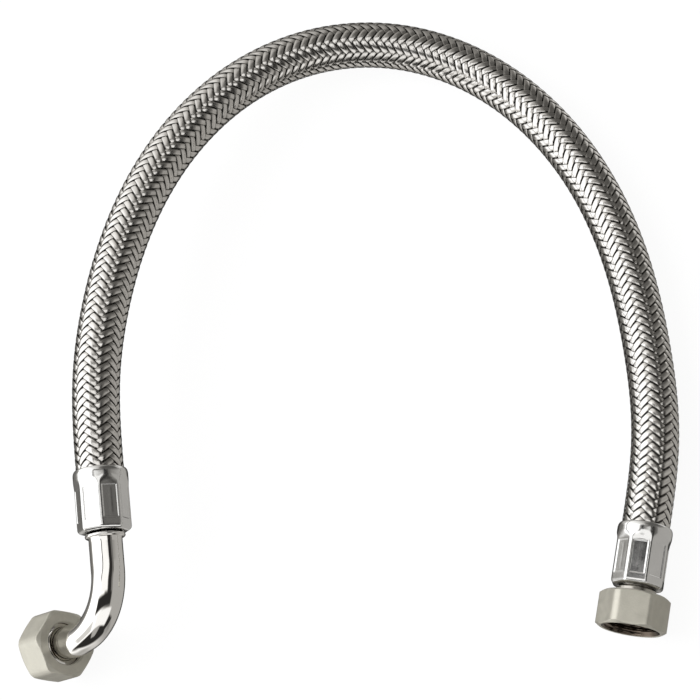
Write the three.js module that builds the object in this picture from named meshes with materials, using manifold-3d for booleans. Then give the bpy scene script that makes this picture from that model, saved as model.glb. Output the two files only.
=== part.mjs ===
// Braided supply line: a flexible water hose with a straight swivel nut at one
// end and a 90 degree bent-tube elbow with a swivel nut at the other.
// Millimetres, +Z up. The hose lies on the plane z = 0. The straight fitting
// points along -Y; the hose loops round to the left (-X), where the elbow's
// mouth points left and down.
import * as THREE from 'three';
import { mergeVertices } from 'three/addons/utils/BufferGeometryUtils.js';
import Module from 'manifold-3d';

const wasm = await Module();
wasm.setup();

const { degToRad, smoothstep, clamp } = THREE.MathUtils;

// ---------------------------------------------------------------- dimensions
// hose: a braid over an inner tube, the liner
const HOSE_R = 9.0;
const BRAID_WALL = 0.7;
const BRAID_BORE_R = HOSE_R - BRAID_WALL;
const LINER_R = 7.85;
const LINER_BORE_R = 6.6;
const HOSE_SIDES = 18;
const LINER_SIDES = 14;

// the same radii where the ferrule squeezes the hose
const CRIMP_BRAID_R = 8.6;
const CRIMP_BRAID_BORE_R = 7.95;
const CRIMP_LINER_R = 7.6;
const CRIMP_LINER_BORE_R = 6.45;
const HOSE_IN_FERRULE = 20.5;  // hose length hidden in each ferrule

// flex stations: the hose bends about an upright axis at each of these
const STATIONS = 13;
const FIRST_STATION = 32;      // from the ferrule mouth
const SOCKET_R = 10.3;         // hollow end of a link, about the station point
const BALL_ANGLES = [135, 112, 90]; // rows of a link's ball end, degrees from its axis
const LINER_OVERRUN = 0.2;     // each liner piece starts this far after a station
const LINER_SETBACK = 8.0;     // and stops this far before the next

// ferrule (crimp sleeve), measured from its hose-side mouth
const FERRULE_LEN = 24;
const FERRULE_AF = 19.0;       // across the eight pressed flats
const FERRULE_FLATS = 8;
const FERRULE_CORNER_R = 10.05;
const FERRULE_LIP_R = 10.3;
const FERRULE_LIP_LEN = 4.6;
const FERRULE_BORE_R = 8.9;
const FERRULE_END_HOLE_R = 6.75;
const FERRULE_END_WALL = 1.3;
const FERRULE_SEGMENTS = 32;
const WINDOW = { width: 4.6, length: 12.0, depth: 0.25, start: 7.6 }; // recess in each flat

// degrees from the top to one flat, towards the frame's side
const STRAIGHT_FERRULE_TURN = 5.3;
const ELBOW_FERRULE_TURN = 17.5;

// swivel nut, G 1/2, measured from its neck face
const NUT_AF = 24.0;
const NUT_CORNER_R = 13.2;
const NUT_LEN = 13.0;
const NUT_NECK_WALL = 2.2;
const NUT_HOLE_R = 8.0;
const NUT_BORE_R = 9.35;       // thread crest radius
const NUT_MOUTH_R = 10.9;      // thread countersink at the mouth
const NUT_FACE_R = 11.7;       // outer edge of both end faces
const NUT_CHAMFER = (NUT_CORNER_R + 0.6 - NUT_FACE_R) * Math.tan(Math.PI / 6); // along the axis
const NUT_SEGMENTS = 36;
const STRAIGHT_NUT_TURN = 30;  // degrees
const ELBOW_NUT_TURN = 37.4;

// barbed tail inside the hose, measured from the ferrule mouth
const TAIL_TIP = 1.2;
const TAIL_R = 6.1;
const TAIL_GROOVE_R = 5.6;
const TAIL_END = FERRULE_LEN + 0.3;
const BARBS = { count: 4, pitch: 4.8, start: 1.8, crestFrom: 0.8, crestTo: 0.97 };
const BARBS_END = 21.6;

// collar that the nut pulls on, and the washer beyond it
const COLLAR_R = 9.05;
const COLLAR_LEN = 2.4;
const COLLAR_GAP = 0.3;        // between the nut's neck wall and the collar
const COLLAR_FACE = NUT_NECK_WALL + COLLAR_GAP + COLLAR_LEN; // from the nut's neck face
const GASKET_R = 9.1;
const GASKET_HOLE_R = 5.4;
const GASKET_THICK = 2.0;
const GASKET_GAP = 0.3;        // between the collar and the washer

// straight insert
const INSERT_BORE_R = 4.6;
const NECK_R = 7.4;
const STRAIGHT_NUT_AT = 26.3;  // nut's neck face, from the ferrule mouth
const TURNED_SEGMENTS = 32;    // insert and washers

// elbow tube
const TUBE_R = 6.25;
const TUBE_BORE_R = 5.2;
const TUBE_TAIL_BORE_R = TUBE_BORE_R - 0.4;
const TUBE_SIDES = 24;
const STOP_BEAD_R = 7.5;
const STOP_BEAD_END = FERRULE_LEN + 1.4;
const BEND_R = 21.58;          // centreline radius
const BEND_STEPS = 9;
const BEND_FLATTENING = 0.1;   // share of its in-plane width the tube loses in the bend
const BEND_BULGE = 0.4 * BEND_FLATTENING; // share it gains square to that
const BEND_LEN = BEND_R * Math.PI / 2;
const BEND_START = FERRULE_LEN + 13.83; // from the ferrule mouth
const BEND_END = BEND_START + BEND_LEN;
const ELBOW_NUT_AT = BEND_END + 7.0;
const ELBOW_OUT = [-0.7163, -0.1737, -0.6758]; // way the elbow nut's mouth points

// control points [x, y, z] of the hose centreline, measured from the straight
// ferrule's mouth on the floor plane
const CONTROL = [
  [0, -34.6, 12], [0, 0, 12], [0, 34.6, 12], [-8.8, 68.56, 9.6],
  [-20.47, 101.26, 9], [-37.6, 131.36, 9], [-61.45, 156.95, 9],
  [-91.77, 175.03, 9.4], [-126.37, 180.62, 12.5], [-159.6, 170.54, 18.4],
  [-185.6, 147.58, 25.4], [-202.39, 117.9, 30.97], [-211.11, 85.4, 35.47],
  [-213.19, 51.72, 39], [-210.43, 16.13, 41.45], [-200.84, -17.03, 39.82],
  [-191.25, -50.2, 38.18],
];
const ORIGIN_SHIFT = [104.59, -46.99, 0]; // puts the origin under the middle of the box

// ----------------------------------------------------------------- materials
const BRAID = { color: 0xb9b9b8, roughness: 0.32, metalness: 1.0 };
const LINER = { color: 0x26262a, roughness: 0.7, metalness: 0.0 };
const FERRULE = { color: 0xc4c4c2, roughness: 0.22, metalness: 1.0 };
const INSERT = { color: 0xb0aca2, roughness: 0.3, metalness: 1.0 };
const NUT = { color: 0xa5a398, roughness: 0.38, metalness: 1.0 };
const TUBE = { color: 0xd0cec8, roughness: 0.1, metalness: 1.0 };
const GASKET = { color: 0x1d1d1f, roughness: 0.8, metalness: 0.0 };

function mesh(name, geometry, look) {
  const result = new THREE.Mesh(geometry, new THREE.MeshStandardMaterial(look));
  result.name = name;
  return result;
}

// -------------------------------------------------------------------- frames
// A frame is an origin and a tangent, with side and up square to the tangent.
function frameFrom(origin, tangent) {
  const side = tangent.clone().cross(new THREE.Vector3(0, 0, 1)).normalize();
  return { origin, tangent, side, up: side.clone().cross(tangent) };
}

function shifted(frame, along) {
  return { ...frame, origin: frame.origin.clone().addScaledVector(frame.tangent, along) };
}

function pointIn(frame, across, height, along) {
  return frame.origin.clone()
    .addScaledVector(frame.side, across)
    .addScaledVector(frame.up, height)
    .addScaledVector(frame.tangent, along);
}

// Stand a turned body (axis +Y) on a frame: +Y goes along the tangent.
function stand(body, frame, turn = 0) {
  const { side, tangent } = frame;
  const basis = new THREE.Matrix4().makeBasis(side, tangent, side.clone().cross(tangent));
  body.quaternion.setFromRotationMatrix(basis);
  body.rotateY(degToRad(turn));
  body.position.copy(frame.origin);
  return body;
}

// ------------------------------------------------------------ geometry tools
// Keep position only, weld, and make sure that the faces point out.
function clean(geometry) {
  geometry.deleteAttribute('normal');
  geometry.deleteAttribute('uv');
  const welded = mergeVertices(geometry, 1e-4);
  const position = welded.attributes.position;
  const index = welded.index.array;
  const corners = [0, 1, 2].map(() => new THREE.Vector3());
  const kept = [];
  let volume = 0;
  for (let i = 0; i < index.length; i += 3) {
    const triangle = [index[i], index[i + 1], index[i + 2]];
    if (new Set(triangle).size < 3) continue;
    kept.push(...triangle);
    corners.forEach((corner, k) => corner.fromBufferAttribute(position, triangle[k]));
    volume += corners[0].dot(corners[1].cross(corners[2]));
  }
  if (volume < 0) {
    for (let i = 0; i < kept.length; i += 3) {
      [kept[i + 1], kept[i + 2]] = [kept[i + 2], kept[i + 1]];
    }
  }
  welded.setIndex(kept);
  return welded;
}

function toManifold(geometry) {
  const cleaned = clean(geometry);
  return new wasm.Manifold(new wasm.Mesh({
    numProp: 3,
    vertProperties: new Float32Array(cleaned.attributes.position.array),
    triVerts: new Uint32Array(cleaned.index.array),
  }));
}

function toGeometry(manifold) {
  const { vertProperties, triVerts } = manifold.getMesh();
  const geometry = new THREE.BufferGeometry();
  geometry.setAttribute('position', new THREE.BufferAttribute(new Float32Array(vertProperties), 3));
  geometry.setIndex(new THREE.BufferAttribute(new Uint32Array(triVerts), 1));
  return geometry;
}

// Turned bodies about Y from [radius, along] points: a solid's outline starts
// and ends on the axis, a ring's is closed back to its first point.
function turnedSolid(outline, segments) {
  return new THREE.LatheGeometry(outline.map((point) => new THREE.Vector2(...point)), segments);
}

function turnedRing(outline, segments) {
  return turnedSolid([...outline, outline[0]], segments);
}

// A turned ring whose axis follows a line: rows are [radius, along, frame].
function ringAlong(rows, sides) {
  const geometry = turnedRing(rows.map(([radius, along]) => [radius, along]), sides);
  const position = geometry.attributes.position;
  const perSegment = rows.length + 1;
  for (let i = 0; i < position.count; i++) {
    const [radius, along, frame] = rows[(i % perSegment) % rows.length];
    const segment = Math.floor(i / perSegment) % sides;
    const angle = (segment / sides) * 2 * Math.PI;
    const point = pointIn(frame, radius * Math.cos(angle), radius * Math.sin(angle), along);
    position.setXYZ(i, point.x, point.y, point.z);
  }
  return clean(geometry);
}

// ----------------------------------------------------------- hose centreline
// A uniform cubic B-spline: smooth in position, direction and curvature.
class HoseLine extends THREE.Curve {
  constructor(points) {
    super();
    this.points = points.map((point) => new THREE.Vector3(...point));
    this.arcLengthDivisions = 1400;
  }

  getPoint(t, target = new THREE.Vector3()) {
    const spans = this.points.length - 3;
    const span = Math.min(Math.floor(t * spans), spans - 1);
    const f = t * spans - span; // fraction of the span
    const weights = [
      (1 - f) ** 3 / 6,
      (3 * f ** 3 - 6 * f ** 2 + 4) / 6,
      (-3 * f ** 3 + 3 * f ** 2 + 3 * f + 1) / 6,
      f ** 3 / 6,
    ];
    target.set(0, 0, 0);
    weights.forEach((weight, k) => target.addScaledVector(this.points[span + k], weight));
    return target;
  }
}

const hose = new HoseLine(CONTROL);
const HOSE_LEN = hose.getLength();

// Frame at a distance along the hose from the straight ferrule's mouth.
function hoseFrame(distance) {
  const share = distance / HOSE_LEN;
  return frameFrom(hose.getPointAt(share), hose.getTangentAt(share));
}

// ---------------------------------------------------------------- hose links
const STATION_PITCH = (HOSE_LEN - 2 * FIRST_STATION) / (STATIONS - 1);
const stationAt = (index) => FIRST_STATION + index * STATION_PITCH;

const ballRows = (radius) => BALL_ANGLES.map(degToRad)
  .map((angle) => [radius * Math.sin(angle), radius * Math.cos(angle)]);
const socketRows = (radius) => [[radius, -Math.sqrt(SOCKET_R ** 2 - radius ** 2)]];

// Each wall of a layer has [radius, along] rows, in the order of the hose:
// start and end are measured from the stations at a link's two ends, and crimp
// from the ferrule mouth, into the ferrule.
const braidWall = (radius, crimp) => ({
  radius, crimp, start: ballRows(radius), end: socketRows(radius),
});

const linerWall = (radius, crimpRadius) => ({
  radius,
  crimp: [[radius, -1.6], [crimpRadius, 1.2], [crimpRadius, HOSE_IN_FERRULE]],
  start: [[radius, LINER_OVERRUN]],
  end: [[radius, -LINER_SETBACK]],
});

const BRAID_LAYER = {
  sides: HOSE_SIDES,
  outer: braidWall(HOSE_R, [
    [HOSE_R, -1.2], [HOSE_R - 0.25, 0.2], [CRIMP_BRAID_R, 1.6], [CRIMP_BRAID_R, HOSE_IN_FERRULE],
  ]),
  inner: braidWall(BRAID_BORE_R, [
    [BRAID_BORE_R, -1.2], [CRIMP_BRAID_BORE_R, 1.6], [CRIMP_BRAID_BORE_R, HOSE_IN_FERRULE],
  ]),
};

const LINER_LAYER = {
  sides: LINER_SIDES,
  outer: linerWall(LINER_R, CRIMP_LINER_R),
  inner: linerWall(LINER_BORE_R, CRIMP_LINER_BORE_R),
};

// A link runs from the station before it to its own station. The first and
// last links run into the ferrules instead.
function linkGeometry(index, layer) {
  const isFirst = index === 0;
  const isLast = index === STATIONS;
  const from = isFirst ? 0 : stationAt(index - 1);
  const to = isLast ? HOSE_LEN : stationAt(index);
  const [startFrame, midFrame, endFrame] = [from, (from + to) / 2, to].map(hoseFrame);
  const mirrored = (rows) => rows.map(([radius, along]) => [radius, -along]).reverse();
  const wallRows = (wall) => {
    const start = isFirst ? mirrored(wall.crimp) : wall.start;
    const end = isLast ? wall.crimp : wall.end;
    return [
      ...start.map((row) => [...row, startFrame]),
      [wall.radius, 0, midFrame],
      ...end.map((row) => [...row, endFrame]),
    ];
  };
  return ringAlong([...wallRows(layer.outer), ...wallRows(layer.inner).reverse()], layer.sides);
}

// ------------------------------------------------------------------- ferrule
// Axis +Y, mouth at 0, closed end at FERRULE_LEN.
function ferruleBlank() {
  const end = FERRULE_LEN;
  const floor = end - FERRULE_END_WALL;
  return toManifold(turnedRing([
    [FERRULE_BORE_R + 0.3, 0], [FERRULE_LIP_R - 0.9, 0],
    [FERRULE_LIP_R - 0.35, 0.6], [FERRULE_LIP_R, 1.8],
    [FERRULE_LIP_R, FERRULE_LIP_LEN], [FERRULE_CORNER_R, FERRULE_LIP_LEN + 1],
    [FERRULE_CORNER_R, end - 2.2], [FERRULE_CORNER_R - 0.6, end - 0.8],
    [FERRULE_CORNER_R - 1.7, end], [FERRULE_END_HOLE_R, end],
    [FERRULE_END_HOLE_R, floor], [FERRULE_BORE_R - 0.5, floor],
    [FERRULE_BORE_R, floor - 0.8], [FERRULE_BORE_R, 1.0],
  ], FERRULE_SEGMENTS));
}

function ferruleGeometry(turnDegrees) {
  const turn = degToRad(turnDegrees);
  const apothem = FERRULE_AF / 2;
  const halfStep = Math.PI / FERRULE_FLATS;

  // everything outside the octagon, from the lip to past the end
  const clearR = 14;
  const cutFrom = FERRULE_LIP_LEN + 0.6;
  const cutTo = FERRULE_LEN + 1;
  const around = turnedSolid(
    [[0, cutFrom], [clearR, cutFrom], [clearR, cutTo], [0, cutTo]], FERRULE_SEGMENTS);
  const octagonR = apothem / Math.cos(halfStep);
  const octagon = new THREE.CylinderGeometry(octagonR, octagonR, 40, FERRULE_FLATS, 1);
  octagon.rotateY(halfStep + turn);
  octagon.translate(0, FERRULE_LEN / 2, 0);
  let cut = toManifold(around).subtract(toManifold(octagon));

  // a shallow window in each flat
  const cutterDepth = 2;
  for (let i = 0; i < FERRULE_FLATS; i++) {
    const cutter = new THREE.BoxGeometry(WINDOW.width, WINDOW.length, cutterDepth);
    cutter.translate(
      0, WINDOW.start + WINDOW.length / 2, apothem - WINDOW.depth + cutterDepth / 2);
    cutter.rotateY(2 * i * halfStep + turn);
    cut = cut.add(toManifold(cutter));
  }
  return toGeometry(ferruleBlank().subtract(cut));
}

// ------------------------------------------------------------ nut and washer
// Axis +Y, neck face at 0, threaded mouth at NUT_LEN.
function nutGeometry() {
  const hexR = NUT_AF / Math.sqrt(3);
  const hexagon = new THREE.CylinderGeometry(hexR, hexR, NUT_LEN + 4, 6, 1);
  hexagon.translate(0, NUT_LEN / 2, 0);
  const chamfered = turnedSolid([
    [0, 0], [NUT_FACE_R, 0], [NUT_CORNER_R, NUT_CHAMFER],
    [NUT_CORNER_R, NUT_LEN - NUT_CHAMFER], [NUT_FACE_R, NUT_LEN], [0, NUT_LEN],
  ], NUT_SEGMENTS);
  const bore = turnedSolid([
    [0, -1], [NUT_HOLE_R + 0.5, -1], [NUT_HOLE_R + 0.5, 0], [NUT_HOLE_R, 0.5],
    [NUT_HOLE_R, NUT_NECK_WALL], [NUT_BORE_R, NUT_NECK_WALL],
    [NUT_BORE_R, NUT_LEN - (NUT_MOUTH_R - NUT_BORE_R)], [NUT_MOUTH_R, NUT_LEN],
    [NUT_MOUTH_R, NUT_LEN + 1], [0, NUT_LEN + 1],
  ], NUT_SEGMENTS);
  return toGeometry(
    toManifold(hexagon).intersect(toManifold(chamfered)).subtract(toManifold(bore)));
}

function gasketGeometry() {
  return clean(turnedRing([
    [GASKET_HOLE_R, 0], [GASKET_R, 0], [GASKET_R, GASKET_THICK], [GASKET_HOLE_R, GASKET_THICK],
  ], TURNED_SEGMENTS));
}

// ----------------------------------------------------- insert and elbow tube
// Outside of the barbed tail, which both fittings share: [radius, along].
function tailOutline() {
  const rows = [];
  for (let i = 0; i < BARBS.count; i++) {
    const at = (share) => BARBS.start + (i + share) * BARBS.pitch;
    rows.push([TAIL_GROOVE_R, at(0)], [TAIL_R, at(BARBS.crestFrom)], [TAIL_R, at(BARBS.crestTo)]);
  }
  return [...rows, [TAIL_R, BARBS_END], [TAIL_R, TAIL_END]];
}

function insertGeometry() {
  const face = STRAIGHT_NUT_AT + COLLAR_FACE;
  return clean(turnedRing([
    [INSERT_BORE_R, TAIL_TIP], [TAIL_GROOVE_R - 0.3, TAIL_TIP],
    ...tailOutline(),
    [NECK_R, TAIL_END], [NECK_R, face - COLLAR_LEN],
    [COLLAR_R, face - COLLAR_LEN], [COLLAR_R, face - 0.2], [COLLAR_R - 0.2, face],
    [INSERT_BORE_R + 0.4, face], [INSERT_BORE_R, face - 0.4],
  ], TURNED_SEGMENTS));
}

const elbowFrame = hoseFrame(HOSE_LEN); // at the elbow ferrule's mouth
const elbowAxis = elbowFrame.tangent;
const elbowOut = new THREE.Vector3(...ELBOW_OUT);
elbowOut.addScaledVector(elbowAxis, -elbowOut.dot(elbowAxis)).normalize();
const bendSide = elbowAxis.clone().cross(elbowOut).normalize();
const bendCentre = shifted(elbowFrame, BEND_START).origin.addScaledVector(elbowOut, BEND_R);

// Frame along the tube, at a distance from the ferrule's mouth. Its side and
// up are scaled in the bend, which flattens the tube.
function tubeFrame(distance) {
  const inBend = clamp(distance - BEND_START, 0, BEND_LEN);
  const angle = inBend / BEND_R;
  const tangent = elbowAxis.clone().multiplyScalar(Math.cos(angle))
    .addScaledVector(elbowOut, Math.sin(angle));
  const origin = bendCentre.clone()
    .addScaledVector(elbowOut, -BEND_R * Math.cos(angle))
    .addScaledVector(elbowAxis, BEND_R * Math.sin(angle))
    .addScaledVector(tangent, distance - BEND_START - inBend);
  const squash = smoothstep(distance, BEND_START - 2, BEND_START + 4)
    * (1 - smoothstep(distance, BEND_END - 4, BEND_END + 2));
  const side = bendSide.clone().multiplyScalar(1 + BEND_BULGE * squash);
  const up = bendSide.clone().cross(tangent).multiplyScalar(1 - BEND_FLATTENING * squash);
  return { origin, tangent, side, up };
}

function elbowTubeGeometry() {
  const face = ELBOW_NUT_AT + COLLAR_FACE;
  const bendRows = (radius) => Array.from({ length: BEND_STEPS + 1 },
    (_, i) => [radius, BEND_START + BEND_LEN * i / BEND_STEPS]);
  const outer = [
    [TAIL_GROOVE_R - 0.2, TAIL_TIP],
    ...tailOutline(),
    [STOP_BEAD_R, TAIL_END], [STOP_BEAD_R, STOP_BEAD_END], [TUBE_R, STOP_BEAD_END],
    ...bendRows(TUBE_R),
    [TUBE_R, face - COLLAR_LEN], [COLLAR_R, face - COLLAR_LEN], [COLLAR_R, face],
  ];
  const inner = [
    [TUBE_TAIL_BORE_R, TAIL_TIP], [TUBE_TAIL_BORE_R, FERRULE_LEN],
    ...bendRows(TUBE_BORE_R),
    [TUBE_BORE_R, face],
  ];
  const rows = [...outer, ...inner.reverse()];
  return ringAlong(rows.map(([radius, distance]) => [radius, 0, tubeFrame(distance)]), TUBE_SIDES);
}

// ------------------------------------------------------------------ assembly
const part = new THREE.Group();
const layout = new THREE.Group();
layout.position.set(...ORIGIN_SHIFT);
part.add(layout);

function addFerrule(end, frame, turn) {
  layout.add(stand(mesh(`${end}_ferrule`, ferruleGeometry(turn), FERRULE), frame));
}

// Nut and washer; the frame is at the nut's neck face and points to its mouth.
function addNut(end, frame, turn) {
  const gasketFrame = shifted(frame, COLLAR_FACE + GASKET_GAP);
  layout.add(stand(mesh(`${end}_nut`, nutGeometry(), NUT), frame, turn));
  layout.add(stand(mesh(`${end}_gasket`, gasketGeometry(), GASKET), gasketFrame));
}

for (let k = 0; k <= STATIONS; k++) {
  const number = String(k + 1).padStart(2, '0');
  layout.add(mesh(`braid_${number}`, linkGeometry(k, BRAID_LAYER), BRAID));
  layout.add(mesh(`liner_${number}`, linkGeometry(k, LINER_LAYER), LINER));
}

// straight end, on a frame that runs outwards from the hose
const hoseStart = hoseFrame(0);
const straightFrame = frameFrom(hoseStart.origin, hoseStart.tangent.clone().negate());
addFerrule('straight', straightFrame, STRAIGHT_FERRULE_TURN);
layout.add(stand(mesh('straight_insert', insertGeometry(), INSERT), straightFrame));
addNut('straight', shifted(straightFrame, STRAIGHT_NUT_AT), STRAIGHT_NUT_TURN);

// elbow end
addFerrule('elbow', elbowFrame, ELBOW_FERRULE_TURN);
layout.add(mesh('elbow_tube', elbowTubeGeometry(), TUBE));
addNut('elbow', tubeFrame(ELBOW_NUT_AT), ELBOW_NUT_TURN);

export default part;
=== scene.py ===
"""Braided flexible hose with a straight swivel-nut end and a 90 degree elbow end.

Lengths are in millimetres and are scaled to metres as the meshes are made. Z is up and
the hose lies just above the floor at z = 0. From the straight end, at the +X side, it runs
towards +Y, loops round towards -X and comes back towards -Y, rising to the elbow end, whose
pipe turns outwards and down.
"""
import math

import bpy
import numpy as np
from mathutils import Matrix, Vector


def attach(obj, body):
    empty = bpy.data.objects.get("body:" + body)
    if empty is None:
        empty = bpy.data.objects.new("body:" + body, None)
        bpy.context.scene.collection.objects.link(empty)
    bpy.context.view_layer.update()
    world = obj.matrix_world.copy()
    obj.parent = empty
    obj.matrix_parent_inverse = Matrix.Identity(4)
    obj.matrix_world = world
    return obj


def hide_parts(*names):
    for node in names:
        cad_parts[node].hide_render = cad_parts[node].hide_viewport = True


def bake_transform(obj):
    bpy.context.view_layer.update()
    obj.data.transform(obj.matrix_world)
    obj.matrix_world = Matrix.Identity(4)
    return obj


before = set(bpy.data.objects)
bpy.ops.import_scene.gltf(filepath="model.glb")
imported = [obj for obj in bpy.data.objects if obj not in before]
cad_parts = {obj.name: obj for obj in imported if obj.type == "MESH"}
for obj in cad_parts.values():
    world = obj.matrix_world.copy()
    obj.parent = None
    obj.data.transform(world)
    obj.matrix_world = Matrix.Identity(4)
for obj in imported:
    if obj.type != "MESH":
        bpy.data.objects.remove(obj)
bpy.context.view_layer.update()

MM = 0.001

# ------------------------------------------------------------- hose centreline
# Control points (x, y, z) of a uniform cubic B-spline, straight end first
CONTROL = np.array([
    [0, -34.6, 12], [0, 0, 12], [0, 34.6, 12], [-8.8, 68.56, 9.6],
    [-20.47, 101.26, 9], [-37.6, 131.36, 9], [-61.45, 156.95, 9], [-91.77, 175.03, 9.4],
    [-126.37, 180.62, 12.5], [-159.6, 170.54, 18.4], [-185.6, 147.58, 25.4],
    [-202.39, 117.9, 30.97], [-211.11, 85.4, 35.47], [-213.19, 51.72, 39],
    [-210.43, 16.13, 41.45], [-200.84, -17.03, 39.82], [-191.25, -50.2, 38.18]], float)
CONTROL = CONTROL + np.array([104.59, -46.99, 0.0])
SPANS = len(CONTROL) - 3


def spline(u):
    """Points of the B-spline at parameters u, one unit per span."""
    i = np.clip(np.floor(u).astype(int), 0, SPANS - 1)
    f = (u - i)[:, None]
    return ((1 - f) ** 3 * CONTROL[i] + (3 * f ** 3 - 6 * f ** 2 + 4) * CONTROL[i + 1]
            + (-3 * f ** 3 + 3 * f ** 2 + 3 * f + 1) * CONTROL[i + 2]
            + f ** 3 * CONTROL[i + 3]) / 6


def unit(v):
    return v / np.linalg.norm(v, axis=-1, keepdims=True)


line_points = spline(np.linspace(0, SPANS, 28001))
line_steps = np.linalg.norm(np.diff(line_points, axis=0), axis=1)
line_lengths = np.r_[0, np.cumsum(line_steps)]
line_tangents = unit(np.gradient(line_points, axis=0))
HOSE = line_lengths[-1]                 # length of the centreline


def hose_frames(s):
    """Origins, tangents, sides and ups at arc lengths s, straight beyond the ends."""
    s = np.atleast_1d(np.asarray(s, float))
    on_line = np.clip(s, 0, HOSE)

    def sample(table):
        return np.stack([np.interp(on_line, line_lengths, table[:, k]) for k in range(3)], 1)

    tangent = unit(sample(line_tangents))
    origin = sample(line_points) + tangent * (s - on_line)[:, None]
    side = unit(np.cross(tangent, [0, 0, 1.0]))
    return origin, tangent, side, np.cross(side, tangent)


def first(frames):
    """The first frame of a set: origin, along, side, up."""
    return tuple(part[0] for part in frames)


def shifted(frame, t):
    """The frame moved by t along its own axis."""
    return (frame[0] + frame[1] * t, *frame[1:])


# Both end frames run out of the hose
origin, tangent, side, up = first(hose_frames(0.0))
STRAIGHT_FRAME = (origin, -tangent, -side, up)
ELBOW_FRAME = first(hose_frames(HOSE))


# ----------------------------------------------------------------- mesh making
def make_mesh(name, verts, quads, materials, attributes=None, sharp=None):
    """verts in millimetres; quads as an (n, 4) array; attributes are per-vertex floats."""
    mesh = bpy.data.meshes.new(name)
    count = len(quads)
    mesh.vertices.add(len(verts))
    mesh.vertices.foreach_set("co", (np.asarray(verts, np.float32) * MM).ravel())
    mesh.loops.add(count * 4)
    mesh.loops.foreach_set("vertex_index", np.asarray(quads, np.int32).ravel())
    mesh.polygons.add(count)
    mesh.polygons.foreach_set("loop_start", np.arange(0, count * 4, 4, dtype=np.int32))
    mesh.polygons.foreach_set("use_smooth", np.ones(count, bool))
    for key, values in (attributes or {}).items():
        attribute = mesh.attributes.new(key, "FLOAT", "POINT")
        attribute.data.foreach_set("value", np.asarray(values, np.float32))
    mesh.update(calc_edges=True)
    mesh.validate()
    if sharp is not None:
        mesh.set_sharp_from_angle(angle=math.radians(sharp))
    for material in materials:
        mesh.materials.append(material)
    return add_object(name, mesh)


def add_object(name, data):
    obj = bpy.data.objects.new(name, data)
    bpy.context.scene.collection.objects.link(obj)
    return obj


def volume_sign(verts, quads):
    a, b, c, d = (verts[quads[:, k]] for k in range(4))
    return (np.einsum("ij,ij->i", a, np.cross(b, c))
            + np.einsum("ij,ij->i", a, np.cross(c, d))).sum()


def grid_quads(rows, cols, close_rows=True):
    """Quads of a grid whose columns always close on themselves."""
    row, col = np.meshgrid(np.arange(rows if close_rows else rows - 1), np.arange(cols),
                           indexing="ij")
    next_row, next_col = (row + 1) % rows, (col + 1) % cols
    quads = np.stack([row * cols + col, next_row * cols + col,
                      next_row * cols + next_col, row * cols + next_col], -1)
    return quads.reshape(-1, 4)


def ring_solid(name, rings, materials, sharp):
    """rings is (profile points, points around, 3), closed both ways."""
    verts = rings.reshape(-1, 3)
    quads = grid_quads(*rings.shape[:2])
    if volume_sign(verts - verts.mean(0), quads) < 0:
        quads = quads[:, ::-1]
    return make_mesh(name, verts, quads, materials, sharp=sharp)


def circle(count):
    return np.linspace(0, 2 * np.pi, count, endpoint=False)


def on_axis(frame, r, t, theta):
    """Points at radius r and height t (values that broadcast) about a straight frame."""
    origin, along, side, up = frame
    r, t, theta = np.broadcast_arrays(r, t, theta)
    return (origin + t[..., None] * along + (r * np.cos(theta))[..., None] * side
            + (r * np.sin(theta))[..., None] * up)


def sweep(frames, across, rise):
    """Points offset along the sides and ups of a row of frames, one ring per frame."""
    origins, _, sides, ups = frames
    return (origins[:, None] + across[..., None] * sides[:, None]
            + rise[..., None] * ups[:, None])


def smooth_min(a, b, k):
    return -k * np.log(np.exp(-a / k) + np.exp(-b / k))


def smooth_step(a, b, x):
    t = np.clip((x - a) / (b - a), 0, 1)
    return t * t * (3 - 2 * t)


def from_flat(theta, turn, sides):
    """Angle from the middle of the nearest flat of a polygon turned by turn degrees."""
    half = math.pi / sides
    return (theta - math.radians(turn) + half) % (2 * half) - half


# ------------------------------------------------------------------- materials
def new_material(name):
    material = bpy.data.materials.new(name)
    material.use_nodes = True
    tree = material.node_tree
    return material, tree, tree.nodes["Principled BSDF"]


def node(tree, kind, inputs=None, **settings):
    made = tree.nodes.new(kind)
    for key, value in settings.items():
        setattr(made, key, value)
    for key, value in (inputs or {}).items():
        made.inputs[key].default_value = value
    return made


def link(tree, output, socket):
    tree.links.new(output, socket)


def ramp(tree, factor, stops):
    """Colour ramp; stops are (position, rgb)."""
    made = node(tree, "ShaderNodeValToRGB")
    elements = made.color_ramp.elements
    while len(elements) < len(stops):
        elements.new(0.5)
    for k, (position, rgb) in enumerate(stops):
        elements[k].position = position
        elements[k].color = (*rgb, 1)
    link(tree, factor, made.inputs[0])
    return made.outputs[0]


def noise(tree, scale, **inputs):
    """Noise in object space; scale is in cycles per metre."""
    coord = node(tree, "ShaderNodeTexCoord")
    mapping = node(tree, "ShaderNodeMapping", inputs={"Scale": (scale,) * 3})
    link(tree, coord.outputs["Object"], mapping.inputs["Vector"])
    made = node(tree, "ShaderNodeTexNoise", inputs={"Scale": 1.0, **inputs})
    link(tree, mapping.outputs[0], made.inputs["Vector"])
    return made.outputs[0]


def multiply(tree, a, b):
    mix = node(tree, "ShaderNodeMix", data_type="RGBA", blend_type="MULTIPLY")
    mix.inputs[0].default_value = 1.0
    link(tree, a, mix.inputs[6])
    link(tree, b, mix.inputs[7])
    return mix.outputs[2]


def bump_normal(tree, bsdf, height, strength):
    bump = node(tree, "ShaderNodeBump", inputs={"Strength": strength, "Distance": 0.0002})
    link(tree, height, bump.inputs["Height"])
    link(tree, bump.outputs[0], bsdf.inputs["Normal"])


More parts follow.
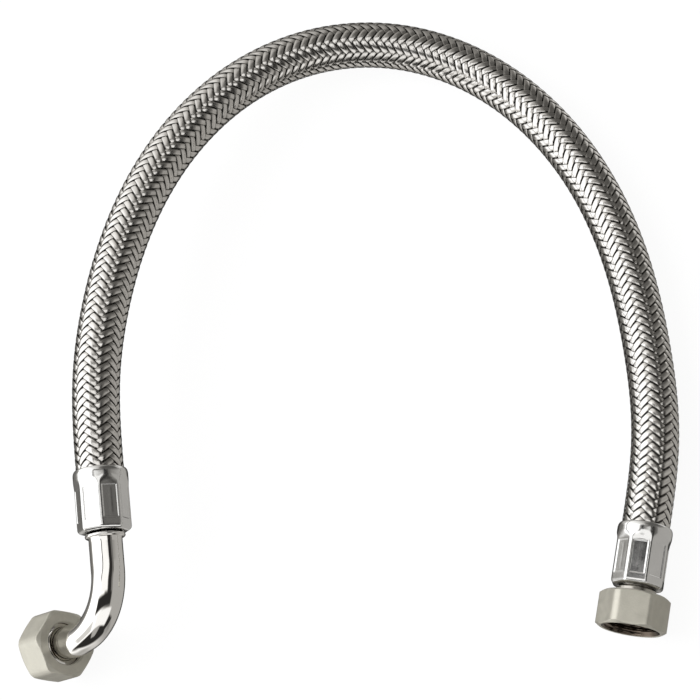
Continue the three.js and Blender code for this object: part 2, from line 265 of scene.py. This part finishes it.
def metal(name, color, rough, rough_var, tint_var, scale, bump, bump_scale,
          metallic=1.0, tint=None):
    """Metal with mottled tint and roughness; tint may rework the colour socket."""
    material, tree, bsdf = new_material(name)
    bsdf.inputs["Metallic"].default_value = metallic
    mottle = noise(tree, scale, Detail=5.0, Roughness=0.6)
    low = tuple(c * (1 - tint_var) for c in color)
    high = tuple(min(1, c * (1 + tint_var)) for c in color)
    base = ramp(tree, mottle, [(0.3, low), (0.7, high)])
    roughness = ramp(tree, mottle, [(0.3, (rough - rough_var,) * 3),
                                    (0.75, (rough + rough_var,) * 3)])
    link(tree, roughness, bsdf.inputs["Roughness"])
    bump_normal(tree, bsdf, noise(tree, bump_scale, Detail=3.0), bump)
    if tint:
        base = tint(tree, base)
    link(tree, base, bsdf.inputs["Base Color"])
    return material


def wire_tint(tree, color):
    """Darkens the gaps between strands with painted shade and varies the tone from wire to
    wire.
    """
    gap_shade = node(tree, "ShaderNodeAttribute", attribute_name="gap_shade")
    shade = ramp(tree, gap_shade.outputs["Fac"], [
        (0.0, (1, 1, 1)), (0.3, (0.84, 0.835, 0.825)),
        (0.65, (0.28, 0.275, 0.265)), (1.0, (0.03, 0.029, 0.027))])
    tone = node(tree, "ShaderNodeAttribute", attribute_name="tone")
    tones = ramp(tree, tone.outputs["Fac"], [(0.0, (0.86, 0.85, 0.84)),
                                             (1.0, (1.0, 0.995, 0.985))])
    return multiply(tree, multiply(tree, color, shade), tones)


def rubber(name, color, rough):
    material, tree, bsdf = new_material(name)
    mottle = noise(tree, 500.0, Detail=4.0)
    base = ramp(tree, mottle, [(0.3, tuple(c * 0.75 for c in color)),
                               (0.7, tuple(c * 1.2 for c in color))])
    link(tree, base, bsdf.inputs["Base Color"])
    roughness = ramp(tree, mottle, [(0.3, (rough - 0.08,) * 3), (0.7, (rough + 0.08,) * 3)])
    link(tree, roughness, bsdf.inputs["Roughness"])
    bump_normal(tree, bsdf, mottle, 0.15)
    return material


WIRE = metal("stainless_wire", color=(0.80, 0.785, 0.765), rough=0.2, rough_var=0.05,
             tint_var=0.05, scale=160.0, bump=0.06, bump_scale=1200.0, tint=wire_tint)
FERRULE = metal("polished_ferrule", color=(0.79, 0.785, 0.775), rough=0.16, rough_var=0.05,
                tint_var=0.04, scale=120.0, bump=0.05, bump_scale=700.0)
TUBE = metal("mirror_nickel", color=(0.87, 0.855, 0.83), rough=0.05, rough_var=0.02,
             tint_var=0.02, scale=80.0, bump=0.01, bump_scale=500.0)
NUT = metal("satin_nickel", color=(0.54, 0.52, 0.45), rough=0.36, rough_var=0.06,
            tint_var=0.08, scale=260.0, bump=0.22, bump_scale=1500.0, metallic=0.62)
# painted shade: the nut's threaded bore is given a dark brown metal to stand for the shade
# inside it
THREAD_SHADE = metal("thread_painted_shade", color=(0.15, 0.12, 0.095), rough=0.22, rough_var=0.08,
               tint_var=0.12, scale=260.0, bump=0.1, bump_scale=1200.0)
INSERT = metal("nickel_insert", color=(0.50, 0.475, 0.43), rough=0.24, rough_var=0.05,
               tint_var=0.05, scale=200.0, bump=0.05, bump_scale=900.0)
LINER = rubber("liner_rubber", color=(0.02, 0.02, 0.022), rough=0.62)
GASKET = rubber("washer_rubber", color=(0.028, 0.028, 0.03), rough=0.7)

# ------------------------------------------------------------- braid and liner
BRAID_R = 8.63                          # middle of the weave
LIFT = 0.25                             # rise and fall of a strand at the crossings
HALF_THICK = 0.12
CARRIERS = 12                           # strands running each way round
STEP_DEG = 360.0 / CARRIERS
AXIAL_PITCH = 3.36                      # between neighbouring strands of one direction
TWIST = STEP_DEG / AXIAL_PITCH          # degrees of turn per millimetre of hose
FILL = 0.88                             # strand width as a share of its step
WIRES = 7                               # wires side by side in a strand
BRAID_PHASE = -10.0                     # degrees of roll of the whole weave
LINER_OUT, LINER_IN = 8.22, 6.6

STATIONS = 13                           # hose segments
END_STATION = 32.0                      # first and last station from the hose's ends
OVERRUN = 3.0                           # sleeve and liner past each end of the hose
BLEND_INSET = 2.4
station = np.linspace(END_STATION, HOSE - END_STATION, STATIONS)
pitch = station[1] - station[0]
segment_edges = np.append(station - pitch / 2, station[-1] + pitch / 2)


def over(x):
    """Height, -1 to 1, of a strand against the crossing lattice; period 4."""
    return np.tanh(2.2 * np.cos(np.pi * (x - 0.5) / 2)) / np.tanh(2.2)


def braid_piece(name, s0, s1, spacing):
    """Open-ended woven strands between two arc lengths."""
    rows = max(4, int(round((s1 - s0) / spacing)) + 1)
    s = np.linspace(s0, s1, rows)
    frames = hose_frames(s)
    # section of one strand: a crowned, ridged top and three points under it
    top_count = WIRES * 2 + 1
    on_wire = np.arange(top_count) % 2 == 1
    top_across = np.linspace(-0.5, 0.5, top_count)
    ridge = np.where(on_wire, 1.0, 0.72)
    crown = np.sqrt(np.clip(1 - (2 * top_across) ** 2 * 0.98, 0, 1))
    top = HALF_THICK * (1.7 * crown * (0.8 + 0.2 * ridge) - 0.7)
    across = np.r_[top_across, 0.36, 0.0, -0.36]
    thick = np.r_[top, np.full(3, -HALF_THICK)]
    edge = np.clip((np.abs(across) - 0.30) / 0.18, 0, 1)
    valley = np.r_[np.where(on_wire, 0.0, 0.22), np.ones(3)]

    turn = TWIST * s[:, None]
    strand_quads = grid_quads(rows, len(across), close_rows=False)
    verts, quads, gap_shade, tone = [], [], [], []
    for way in (1, -1):
        for i in range(CARRIERS):
            angle = STEP_DEG * i + way * turn + across[None] * STEP_DEG * FILL
            lattice = (angle + way * turn) / STEP_DEG       # against the other set
            height = -way * over(lattice + i)
            r = BRAID_R + LIFT * height + thick[None]
            theta = np.radians(angle + BRAID_PHASE)
            points = sweep(frames, r * np.cos(theta), r * np.sin(theta))
            quads.append(strand_quads + len(verts) * rows * len(across))
            verts.append(points.reshape(-1, 3))
            # painted shade: darker towards strand edges, in the valleys between wires and
            # where a strand dips under the other set
            dark = (0.95 * edge[None] ** 1.4 + valley[None] * 0.4
                    + np.clip(0.2 - height, 0, 1) * 0.8 - 0.03)
            gap_shade.append(np.clip(dark, 0, 1).ravel())
            wave = (2.1 * i + 1.7 * way + across[None] * 9.0
                    + 0.13 * s[:, None] * (1 + 0.2 * i))
            tone.append((0.5 + 0.5 * np.sin(wave)).ravel())
    return make_mesh(name, np.concatenate(verts), np.concatenate(quads), [WIRE],
                     attributes={"gap_shade": np.concatenate(gap_shade), "tone": np.concatenate(tone)})


def liner_piece(name, s0, s1):
    rows = max(3, int(round((s1 - s0) / 2.0)) + 1)
    frames = hose_frames(np.linspace(s0, s1, rows))
    theta = circle(48)[None]

    def skin(r):
        return sweep(frames, r * np.cos(theta), r * np.sin(theta))

    return ring_solid(name, np.concatenate([skin(LINER_OUT), skin(LINER_IN)[::-1]]),
                      [LINER], sharp=50)


braid_spacing = 0.6
for number in range(1, STATIONS + 1):
    edge0, edge1 = segment_edges[number - 1], segment_edges[number]
    last = number == STATIONS
    s0 = -OVERRUN if number == 1 else edge0
    s1 = HOSE + OVERRUN if last else edge1
    braid = braid_piece("braid_sleeve_%02d" % number, s0, s1, braid_spacing)
    liner = liner_piece("inner_tube_%02d" % number, s0, s1)
    start = hose_frames(edge0 + BLEND_INSET)[0][0] * MM
    end = hose_frames(edge1 - BLEND_INSET)[0][0] * MM
    for obj, slot in ((braid, "braid"), (liner, "liner")):
        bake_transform(obj)
        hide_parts("%s_%02d" % (slot, number))
        if last:
            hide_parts("%s_%02d" % (slot, number + 1))

# -------------------------------------------------------------------- ferrules
FERRULE_LEN = 24.0
FLAT_R, CORNER_R = 9.45, 10.08          # of the eight-sided crimp
MOUTH_R, LIP_R = 9.3, 10.27             # crest and outside of the rounded mouth


def ferrule(name, frame, turn):
    """Sleeve with a round mouth at the hose, an eight-sided crimp and a closing end."""
    theta = circle(448)
    d = from_flat(theta, turn, 8)
    crimp_r = smooth_min(FLAT_R / np.cos(d), CORNER_R, 0.05)
    y = crimp_r * np.sin(d)             # across the flat
    press = 1 - smooth_step(2.6, 3.0, np.abs(y))
    groove = np.exp(-((y - 0.3) / 0.6) ** 2)
    profile = []                        # (radius, height)
    for t in np.r_[np.linspace(2.4, 3.8, 6), np.linspace(4.0, 8.6, 34),
                   np.linspace(8.9, 18.6, 26), np.linspace(18.9, 21.8, 18)]:
        crimped = smooth_step(3.4, 6.9, t - 0.8 * (np.abs(d) / (np.pi / 8)) ** 2)
        r = LIP_R * (1 - crimped) + crimp_r * crimped
        r = r - 0.25 * press * smooth_step(7.1, 7.6, t) * (1 - smooth_step(19.3, 19.8, t))
        r = r - 0.02 * groove * smooth_step(7.4, 9.5, t) * (1 - smooth_step(17.0, 19.2, t))
        profile.append((r, t))
    # rounded closing end
    for k in range(1, 11):
        a = k / 10 * math.pi / 2
        profile.append((crimp_r - 1.9 * (1 - math.cos(a)), 21.8 + 1.75 * math.sin(a)))
    # end hole and inside wall
    profile += [(7.3, 23.65), (6.95, 23.5), (6.8, 23.1),
                (6.8, 22.4), (8.8, 22.2), (9.15, 21.0), (9.12, 4.5), (9.14, 2.0), (9.15, 0.5)]
    # rounded mouth, inside then outside
    for k in range(4):
        a = k / 3 * math.pi / 2
        profile.append((MOUTH_R - 0.14 * math.cos(a), 0.2 - 0.17 * math.sin(a)))
    for k in range(1, 13):
        a = k / 12 * math.pi / 2
        profile.append((MOUTH_R + (LIP_R - MOUTH_R) * math.sin(a),
                        0.03 + 2.1 * (1 - math.cos(a))))
    rings = np.stack([on_axis(frame, r, t, theta) for r, t in profile])
    return ring_solid(name, rings, [FERRULE], sharp=60)


# ------------------------------------------------------------------------ nuts
NUT_LEN = 13.0
NUT_FLAT_R = 12.0                       # axis to flat
NUT_FACE_R, NUT_CORNER_R = 11.7, 13.2   # end face at the chamfer, and clipped corners
CHAMFER_SLOPE = math.tan(math.radians(30))
NUT_WEB = 2.2                           # wall round the neck hole
THREAD_PITCH, THREAD_ROOT, THREAD_CREST = 1.814, 10.42, 9.35
THREAD_STEP = 0.12                      # between rings of the thread
SINK_R = 10.95                          # countersink at the mouth


def nut(name, frame, turn):
    """Hexagon nut: neck hole at height 0, threaded mouth at NUT_LEN."""
    theta = circle(360)
    hex_r = NUT_FLAT_R / np.cos(from_flat(theta, turn, 6))
    profile = []                        # (radius, height)
    # side, neck face to mouth face
    for t in np.r_[np.linspace(0.0, 0.6, 13), np.linspace(0.7, 1.6, 9),
                   np.linspace(1.75, 11.25, 20), np.linspace(11.4, 12.4, 9),
                   np.linspace(12.45, 13.0, 12)]:
        cone = NUT_FACE_R + min(t, NUT_LEN - t) / CHAMFER_SLOPE
        profile.append((smooth_min(hex_r, min(cone, NUT_CORNER_R), 0.15), t))
    profile += [(11.5, NUT_LEN), (11.05, NUT_LEN), (SINK_R, NUT_LEN - 0.06)]
    # countersink and thread
    for t in np.arange(NUT_LEN - THREAD_STEP, 4.6, -THREAD_STEP):
        phase = (t / THREAD_PITCH + theta / (2 * np.pi)) % 1.0
        rise = np.clip((np.abs(2 * phase - 1) - 0.12) / 0.76, 0, 1)     # 1 at the crest
        rise = rise * rise * (3 - 2 * rise) * 0.35 + rise * 0.65
        depth = (THREAD_ROOT - THREAD_CREST) * rise * smooth_step(4.9, 6.2, t)
        profile.append((np.maximum(THREAD_ROOT - depth, SINK_R - (NUT_LEN - t)), t))
    # floor of the thread, neck hole and neck face
    profile += [(THREAD_ROOT, 4.5), (THREAD_ROOT, 2.35), (THREAD_ROOT - 0.15, NUT_WEB),
                (8.15, NUT_WEB), (8.0, 2.05), (8.0, 0.55),
                (8.12, 0.3), (8.5, 0.0), (8.75, 0.0), (11.5, 0.0)]
    rings = np.stack([on_axis(frame, r, t, theta) for r, t in profile])
    obj = ring_solid(name, rings, [NUT, THREAD_SHADE], sharp=40)
    darken_inside(obj.data, frame)
    return obj


def darken_inside(mesh, frame):
    """Gives the inside faces of a nut the second material, a dark metal that is painted shade
    inside the bore.
    """
    co = np.zeros(len(mesh.vertices) * 3, np.float32)
    mesh.vertices.foreach_get("co", co)
    offset = co.reshape(-1, 3) / MM - frame[0]
    height = offset @ frame[1]
    radius = np.linalg.norm(offset - height[:, None] * frame[1], axis=1)
    corners = np.zeros(len(mesh.loops), np.int32)
    mesh.loops.foreach_get("vertex_index", corners)
    corners = corners.reshape(-1, 4)
    inside = ((radius[corners].max(1) < 10.9) & (height[corners].min(1) > 0.9)
              & (height[corners].max(1) < 12.95))
    mesh.polygons.foreach_set("material_index", inside.astype(np.int32))
    mesh.update()


# --------------------------------------------------------------- turned pieces
def round_profile(points, radius, steps=4):
    """Rounds the corners of a closed profile given as [r, t] points."""
    points = np.array(points, float)
    rounded = []
    for k, corner in enumerate(points):
        a, b = points[k - 1] - corner, points[(k + 1) % len(points)] - corner
        len_a, len_b = np.linalg.norm(a), np.linalg.norm(b)
        r = min(radius, len_a * 0.45, len_b * 0.45)
        if r < 1e-4:
            rounded.append(corner)
            continue
        before, after = corner + a / len_a * r, corner + b / len_b * r
        for m in range(steps + 1):
            f = m / steps
            rounded.append((1 - f) ** 2 * before + 2 * f * (1 - f) * corner + f ** 2 * after)
    return np.array(rounded)


def turned(name, frame, points, radius, material):
    r, t = round_profile(points, radius).T
    rings = on_axis(frame, r[:, None], t[:, None], circle(128)[None])
    return ring_solid(name, rings, [material], sharp=40)


def washer(name, frame):
    return turned(name, frame, [[5.4, 0], [9.1, 0], [9.1, 2.0], [5.4, 2.0]],
                  radius=0.25, material=GASKET)


def finish_piece(obj, body, slot, *nodes):
    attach(obj, body)
    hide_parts(*nodes)


# Barbed stem inside the hose, shared by both ends: [radius, height]
BARB_START, BARB_STEP, BARB_LOW, BARB_R = 1.8, 4.8, 5.6, 6.1
BARBS = []
for i in range(4):
    BARBS += [[BARB_LOW, BARB_START + i * BARB_STEP],
              [BARB_R, BARB_START + (i + 0.8) * BARB_STEP],
              [BARB_R, BARB_START + (i + 0.97) * BARB_STEP]]
BARBS.append([BARB_R, 21.6])

HEAD_R, HEAD_THICK = 9.05, 2.4          # head held behind the nut's web
HEAD_FACE = NUT_WEB + 0.3 + HEAD_THICK  # head's outer face from the nut's neck face
WASHER_GAP = 0.3                        # head's face to washer

# ---------------------------------------------------------------- straight end
STRAIGHT_NUT = 26.3                     # nut's neck face from the end of the hose
NECK_R = 7.4
straight_face = STRAIGHT_NUT + HEAD_FACE
head_back = straight_face - HEAD_THICK

finish_piece(ferrule("crimp_ferrule_straight", STRAIGHT_FRAME, turn=84.7),
             "straight_end", "ferrule", "straight_ferrule")
finish_piece(nut("swivel_nut_straight", shifted(STRAIGHT_FRAME, STRAIGHT_NUT), turn=90.0),
             "straight_nut", "nut", "straight_nut")
tail_profile = [
    [4.6, 1.2], [5.3, 1.2], *BARBS, [BARB_R, 24.3], [NECK_R, 24.3], [NECK_R, head_back],
    [HEAD_R, head_back], [HEAD_R, straight_face], [4.6, straight_face]]
finish_piece(turned("tail_insert", STRAIGHT_FRAME, tail_profile, radius=0.2, material=INSERT),
             "straight_end", "insert", "straight_insert")
finish_piece(washer("washer_straight", shifted(STRAIGHT_FRAME, straight_face + WASHER_GAP)),
             "straight_nut", "gasket", "straight_gasket")

# ------------------------------------------------------------------- elbow end
BEND_R = 21.58
LEG = 13.83                             # ferrule to bend
TO_NUT = 7.0                            # bend to the nut's neck face
PIPE_R, BORE_R = 6.25, 5.2
BEND_START = FERRULE_LEN + LEG
ARC = BEND_R * math.pi / 2
BEND_END = BEND_START + ARC
ELBOW_NUT = BEND_END + TO_NUT
PIPE_FACE = ELBOW_NUT + HEAD_FACE
FLARE_START = PIPE_FACE - 3.2

elbow_origin, elbow_along = ELBOW_FRAME[:2]
# the way the pipe leaves the bend, made square to the hose's end
out = np.array([-0.7163, -0.1737, -0.6758])
out = unit(out - (out @ elbow_along) * elbow_along)
bend_centre = elbow_origin + elbow_along * BEND_START + out * BEND_R
bend_side = unit(np.cross(elbow_along, out))


def pipe_frames(s):
    """Frames along the pipe, s from the end of the hose."""
    s = np.atleast_1d(np.asarray(s, float))
    a = (np.clip(s - BEND_START, 0, ARC) / BEND_R)[:, None]
    tangent = np.cos(a) * elbow_along + np.sin(a) * out
    origin = bend_centre - BEND_R * np.cos(a) * out + BEND_R * np.sin(a) * elbow_along
    beyond = np.minimum(s - BEND_START, 0) + np.maximum(s - BEND_END, 0)
    side = np.broadcast_to(bend_side, tangent.shape)
    return origin + tangent * beyond[:, None], tangent, side, np.cross(side, tangent)


def elbow_pipe():
    profile = [[5.4, 1.2], *BARBS, [BARB_R, 23.6], [PIPE_R, 23.9]]      # [radius, s]
    # bead where the pipe leaves the ferrule
    profile += [[PIPE_R + 1.25 * math.sin(a) ** 0.7, 24.85 - 0.75 * math.cos(a)]
                for a in np.linspace(0.05, math.pi - 0.05, 14)]
    profile += [[PIPE_R, s] for s in np.r_[
        np.linspace(25.9, BEND_START, 8), np.linspace(BEND_START, BEND_END, 49)[1:],
        np.linspace(BEND_END, FLARE_START, 10)[1:]]]
    # flare and head
    profile += [[PIPE_R + (HEAD_R - PIPE_R) * (k / 6) ** 2,
                 FLARE_START + 0.8 * math.sin(k / 6 * math.pi / 2)] for k in range(1, 7)]
    profile += [[HEAD_R, PIPE_FACE - 2.2], [HEAD_R, PIPE_FACE - 0.25], [8.8, PIPE_FACE],
                [5.5, PIPE_FACE], [BORE_R, PIPE_FACE - 0.3]]
    # bore, back to the hose
    profile += [[BORE_R, s] for s in np.linspace(BEND_END, BEND_START, 25)]
    profile += [[4.8, 23.0], [4.8, 1.2]]
    r, s = np.array(profile, float).T
    theta = circle(96)[None]
    # the section is slightly flattened through the bend
    in_bend = (smooth_step(BEND_START - 2, BEND_START + 4, s)
               * (1 - smooth_step(BEND_END - 4, BEND_END + 2, s)) * (r < 7))
    wide, low = r * (1 + 0.04 * in_bend), r * (1 - 0.10 * in_bend)
    rings = sweep(pipe_frames(s), wide[:, None] * np.cos(theta), low[:, None] * np.sin(theta))
    return ring_solid("elbow_pipe", rings, [TUBE], sharp=45)


finish_piece(elbow_pipe(), "elbow_end", "tube", "elbow_tube")
finish_piece(ferrule("crimp_ferrule_elbow", ELBOW_FRAME, turn=72.5),
             "elbow_end", "ferrule", "elbow_ferrule")
nut_frame = first(pipe_frames(ELBOW_NUT))
finish_piece(nut("swivel_nut_elbow", nut_frame, turn=22.6), "elbow_nut", "nut", "elbow_nut")
finish_piece(washer("washer_elbow", shifted(nut_frame, HEAD_FACE + WASHER_GAP)),
             "elbow_nut", "gasket", "elbow_gasket")

# ---------------------------------------------------------------------- camera
AZIMUTH, ELEVATION, ROLL = map(math.radians, (27.24, 71.94, -17.73))
DISTANCE = 929.4
TARGET = np.array([-18.618, 7.418, 0.0])

forward = np.array([-math.sin(AZIMUTH) * math.cos(ELEVATION),
                    math.cos(AZIMUTH) * math.cos(ELEVATION), -math.sin(ELEVATION)])
level_right = np.array([math.cos(AZIMUTH), math.sin(AZIMUTH), 0])
level_up = np.cross(level_right, forward)
cam_right = math.cos(ROLL) * level_right + math.sin(ROLL) * level_up
cam_up = -math.sin(ROLL) * level_right + math.cos(ROLL) * level_up

camera = add_object("camera", bpy.data.cameras.new("camera"))
cam_matrix = Matrix.Identity(4)
for k in range(3):
    cam_matrix[k] = (cam_right[k], cam_up[k], -forward[k],
                     (TARGET[k] - DISTANCE * forward[k]) * MM)
camera.matrix_world = cam_matrix
camera.data.sensor_width = 36.0
camera.data.lens = 122.672571
camera.data.clip_start = 0.01
camera.data.clip_end = 20
bpy.context.scene.camera = camera


# --------------------------------------------------------------- floor and flag
def flat_sheet(name, points):
    """One face through points in metres."""
    mesh = bpy.data.meshes.new(name)
    mesh.from_pydata(points, [], [tuple(range(len(points)))])
    return add_object(name, mesh)


def mix_shaders(tree, first_shader, second_shader, factor=0.5):
    mix = node(tree, "ShaderNodeMixShader", inputs={0: factor})
    link(tree, first_shader.outputs[0], mix.inputs[1])
    link(tree, second_shader.outputs[0], mix.inputs[2])
    return mix


def split_camera_rays(tree, others, camera_rays, output):
    """Shows one shader to the camera and another to all other rays."""
    path = node(tree, "ShaderNodeLightPath")
    mix = mix_shaders(tree, others, camera_rays)
    link(tree, path.outputs["Is Camera Ray"], mix.inputs[0])
    link(tree, mix.outputs[0], tree.nodes[output].inputs["Surface"])


def floor_material():
    """A lit white table with a faint shadow, which the metal does not mirror."""
    material, tree, bsdf = new_material("floor_white")
    bsdf.inputs["Base Color"].default_value = (0.93, 0.93, 0.93, 1)
    bsdf.inputs["Roughness"].default_value = 0.9
    glow = node(tree, "ShaderNodeEmission", inputs={"Color": (1, 1, 1, 1), "Strength": 1.03})
    clear = node(tree, "ShaderNodeBsdfTransparent")
    table = mix_shaders(tree, bsdf, glow, factor=0.90)
    split_camera_rays(tree, clear, table, "Material Output")
    return material


def flag_material():
    material, tree, bsdf = new_material("flag_black")
    tree.nodes.remove(bsdf)
    clear = node(tree, "ShaderNodeBsdfTransparent")
    dark = node(tree, "ShaderNodeEmission",
                inputs={"Color": (0.02, 0.02, 0.022, 1), "Strength": 1.0})
    mix = mix_shaders(tree, clear, dark, factor=0.93)
    link(tree, mix.outputs[0], tree.nodes["Material Output"].inputs["Surface"])
    return material


FLOOR_HALF, FLOOR_Z = 3.0, -0.0004      # metres
floor = flat_sheet("floor", [(x * FLOOR_HALF, y * FLOOR_HALF, FLOOR_Z)
                             for x, y in ((-1, -1), (1, -1), (1, 1), (-1, 1))])
floor.data.materials.append(floor_material())

# ---------------------------------------------------------------- studio world
world = bpy.data.worlds.new("studio")
bpy.context.scene.world = world
world.use_nodes = True
sky = world.node_tree
background = sky.nodes["Background"]
sky_coord = node(sky, "ShaderNodeTexCoord")


def dot(vector):
    made = node(sky, "ShaderNodeVectorMath", operation="DOT_PRODUCT")
    link(sky, sky_coord.outputs["Generated"], made.inputs[0])
    made.inputs[1].default_value = tuple(float(x) for x in vector)
    return made.outputs["Value"]


def calc(operation, *operands):
    """Math node on sockets or numbers."""
    made = node(sky, "ShaderNodeMath", operation=operation)
    for k, operand in enumerate(operands):
        if isinstance(operand, (int, float)):
            made.inputs[k].default_value = operand
        else:
            link(sky, operand, made.inputs[k])
    return made.outputs[0]


def ease(x, x0, x1, y0=0.0, y1=1.0):
    """Smooth change from y0 at x0 to y1 at x1."""
    made = node(sky, "ShaderNodeMapRange", interpolation_type="SMOOTHSTEP")
    link(sky, x, made.inputs[0])
    for k, value in enumerate((x0, x1, y0, y1)):
        made.inputs[k + 1].default_value = value
    return made.outputs[0]


def band(x, low, high, soft):
    return calc("MULTIPLY", ease(x, low - soft, low + soft),
                ease(x, high - soft, high + soft, 1.0, 0.0))


def patch(x0, x1, y0, y1, soft_x, soft_y):
    """Mask of a soft-edged rectangle in degrees right of and above the camera."""
    return calc("MULTIPLY", band(deg_right, x0, x1, soft_x), band(deg_up, y0, y1, soft_y))


def dim(light, mask, amount):
    return calc("MULTIPLY", light, calc("SUBTRACT", 1.0, calc("MULTIPLY", mask, amount)))


def put(light, mask, value):
    return calc("ADD", calc("MULTIPLY", light, calc("SUBTRACT", 1.0, mask)),
                calc("MULTIPLY", mask, value))


to_right, to_up, to_camera = dot(cam_right), dot(cam_up), dot(-forward)
deg_right = calc("MULTIPLY", calc("ARCTAN2", to_right, to_camera), 180 / math.pi)
deg_up = calc("MULTIPLY", calc("ARCSINE", to_up), 180 / math.pi)

# General light, brightest to the camera's left
LIGHT_FROM = math.radians(194)          # round the camera's axis from its right
off_axis = calc("SQRT", calc("ADD", calc("ADD", calc("MULTIPLY", to_right, to_right),
                                         calc("MULTIPLY", to_up, to_up)), 0.01))
toward = calc("ADD", calc("MULTIPLY", to_right, math.cos(LIGHT_FROM)),
              calc("MULTIPLY", to_up, math.sin(LIGHT_FROM)))
toward = calc("DIVIDE", toward, off_axis)
behind = calc("MULTIPLY", to_camera, -1.0)
light = ease(toward, -0.6, 0.7, 0.20, 1.25)

# Panels and flags, later ones over earlier: (right from, to, up from, to, soft edge
# across, soft edge up), all in degrees from the camera, then brightness
UPPER_PATCHES = [
    ((-115, -34, -32, 40, 5, 5), 1.5),          # the big soft light on the left
    ((-82, -34, -54, -33, 4, 3), 0.68),
    ((-24, 18, -4, 33, 2, 3), 1.05),            # panel about the camera
    ((49, 150, -46, 24, 3, 5), 0.40),           # the grey wall on the right
    ((-20, 63, -61, -31, 5, 2.5), 1.0),
    ((21, 40.5, -22, 33, 3, 4), 0.025),         # dark flags
    ((41, 51, 8, 36, 1.5, 3), 0.15),
    ((-37, 46, -27, -7, 3, 3), 0.025),
    ((-31, -25, 9, 30, 1.5, 3), 0.06),
    ((-30, 20, 28, 38, 4, 2), 0.14),
    ((-178, -104, -30, 20, 4, 5), 0.42),
]
OUTER_PATCHES = [
    ((-22, 26, -80, -58, 6, 2), 0.4),
    ((66, 96, -76, -42, 3, 3), 0.025),
    ((16, 98, 34, 72, 4, 4), 0.10),
]
for area, brightness in UPPER_PATCHES:
    light = put(light, patch(*area), brightness)
# darkness far below the camera
low_mask = calc("MULTIPLY", ease(deg_up, -57, -62), ease(to_camera, -0.35, -0.15))
light = put(light, low_mask, 0.025)
for area, brightness in OUTER_PATCHES:
    light = put(light, patch(*area), brightness)
light = dim(light, patch(-4, 16, 44, 74, 5, 5), 0.5)
light = calc("ADD", light, calc("MULTIPLY", patch(102, 155, 26, 48, 5, 4), 0.5))
# dimmer beyond the table: towards the left, then straight ahead
left_mask = calc("MULTIPLY", ease(behind, 0.25, 0.52), ease(to_right, 0.25, -0.05))
light = dim(light, left_mask, 0.6)
light = dim(light, ease(behind, 0.74, 0.91), 0.8)

# slightly warm, more so where dim: (channel, slope, offset)
sky_color = node(sky, "ShaderNodeCombineColor")
link(sky, light, sky_color.inputs[0])
for channel, slope, offset in ((1, 0.03, 0.965), (2, 0.08, 0.90)):
    share = calc("ADD", calc("MULTIPLY", light, slope), offset)
    link(sky, calc("MULTIPLY", light, share), sky_color.inputs[channel])
link(sky, sky_color.outputs[0], background.inputs["Color"])
background.inputs["Strength"].default_value = 1.1
# seen past the edge of the floor, the studio is plain and pale
pale = node(sky, "ShaderNodeBackground",
            inputs={"Color": (0.97, 0.97, 0.97, 1.0), "Strength": 1.0})
split_camera_rays(sky, background, pale, "World Output")

# A dark flag between table and camera, out of the camera's sight.
# Corners are offsets from the target to the camera's right and up.
FLAG_CORNERS = ((8, 60), (52, 60), (52, 175), (8, 175))
FLAG_NEARER = 320.0                     # from the target towards the camera
flag = flat_sheet("flag", [
    tuple((TARGET + x * cam_right + y * cam_up - FLAG_NEARER * forward) * MM)
    for x, y in FLAG_CORNERS])
flag.data.materials.append(flag_material())
flag.visible_camera = flag.visible_shadow = flag.visible_diffuse = False

# Square key light to the camera's left, aimed at the origin (metres)
key_light = bpy.data.lights.new("key", "AREA")
key_light.shape = "RECTANGLE"
key_light.size = key_light.size_y = 0.9
key_light.energy = 9
key = add_object("key", key_light)
key.location = tuple(np.array(cam_matrix.translation) * 0.2 - cam_right * 0.9
                     + np.array([0, 0, 0.7]))
key.rotation_euler = (Vector((0, 0, 0)) - key.location).to_track_quat("-Z", "Y").to_euler()
key.visible_glossy = False

view = bpy.context.scene.view_settings
view.view_transform = "Standard"
view.look = "None"
view.exposure = 0.0

bpy.context.view_layer.update()
